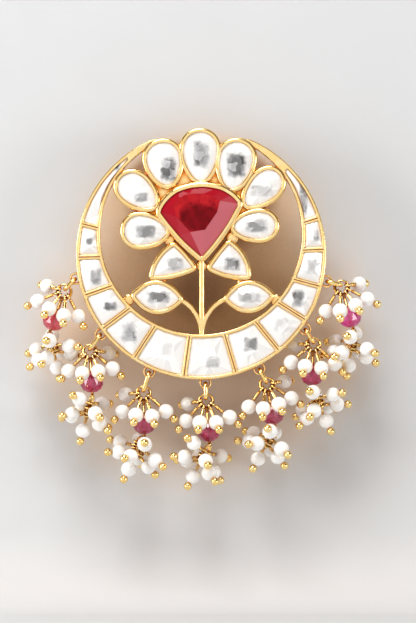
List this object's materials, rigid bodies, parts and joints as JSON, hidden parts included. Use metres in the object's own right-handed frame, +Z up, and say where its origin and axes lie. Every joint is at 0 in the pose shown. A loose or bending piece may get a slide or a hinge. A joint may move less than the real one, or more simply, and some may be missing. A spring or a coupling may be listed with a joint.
{
  "type": "dangle earring",
  "caption": "Round crescent drop earring with a jewelled flower, an ear post and hanging clusters of seed pearls and ruby beads.",
  "frame": {"origin": "root of the ear post on the flat back, behind the ruby, where the earring is pinned to the lobe", "axes": "+Y out of the back along the ear post, -Y out of the jewelled face, +Z up, +X to the viewer's right"},
  "size_m": [0.0516, 0.0161, 0.0523],
  "materials": {
    "gold": "polished, softly rounded by hand",
    "gold_wire": "polished wire",
    "white_stone": "flat-cut, foil-backed",
    "ruby": "polished, deep red",
    "ruby_bead": "faceted, raspberry red",
    "pearl": "pearly gloss"
  },
  "bodies": {
    "root": {"gold_frame": "gold", "crescent_stone_01": "white_stone", "crescent_stone_02": "white_stone", "crescent_stone_03": "white_stone", "crescent_stone_04": "white_stone", "crescent_stone_05": "white_stone", "crescent_stone_06": "white_stone", "crescent_stone_07": "white_stone", "crescent_stone_08": "white_stone", "crescent_stone_09": "white_stone", "crescent_stone_10": "white_stone", "crescent_stone_11": "white_stone", "crescent_stone_12": "white_stone", "crescent_stone_13": "white_stone", "petal_stone_1": "white_stone", "petal_stone_2": "white_stone", "petal_stone_3": "white_stone", "petal_stone_4": "white_stone", "petal_stone_5": "white_stone", "petal_stone_6": "white_stone", "petal_stone_7": "white_stone", "leaf_stone_1": "white_stone", "leaf_stone_2": "white_stone", "leaf_stone_3": "white_stone", "leaf_stone_4": "white_stone", "ruby_centre": "ruby", "drop_link_1": "gold_wire", "drop_link_2": "gold_wire", "drop_link_3": "gold_wire", "drop_link_4": "gold_wire", "drop_link_5": "gold_wire", "drop_link_6": "gold_wire", "drop_link_7": "gold_wire", "drop_wires_1": "gold_wire", "drop_wires_2": "gold_wire", "drop_wires_3": "gold_wire", "drop_wires_4": "gold_wire", "drop_wires_5": "gold_wire", "drop_wires_6": "gold_wire", "drop_wires_7": "gold_wire", "ruby_bead_1": "ruby_bead", "ruby_bead_2": "ruby_bead", "ruby_bead_3": "ruby_bead", "ruby_bead_4": "ruby_bead", "ruby_bead_5": "ruby_bead", "ruby_bead_6": "ruby_bead", "ruby_bead_7": "ruby_bead", "pearls_1": "pearl", "pearls_2": "pearl", "pearls_3": "pearl", "pearls_4": "pearl", "pearls_5": "pearl", "pearls_6": "pearl", "pearls_7": "pearl"}
  },
  "joints": []
}
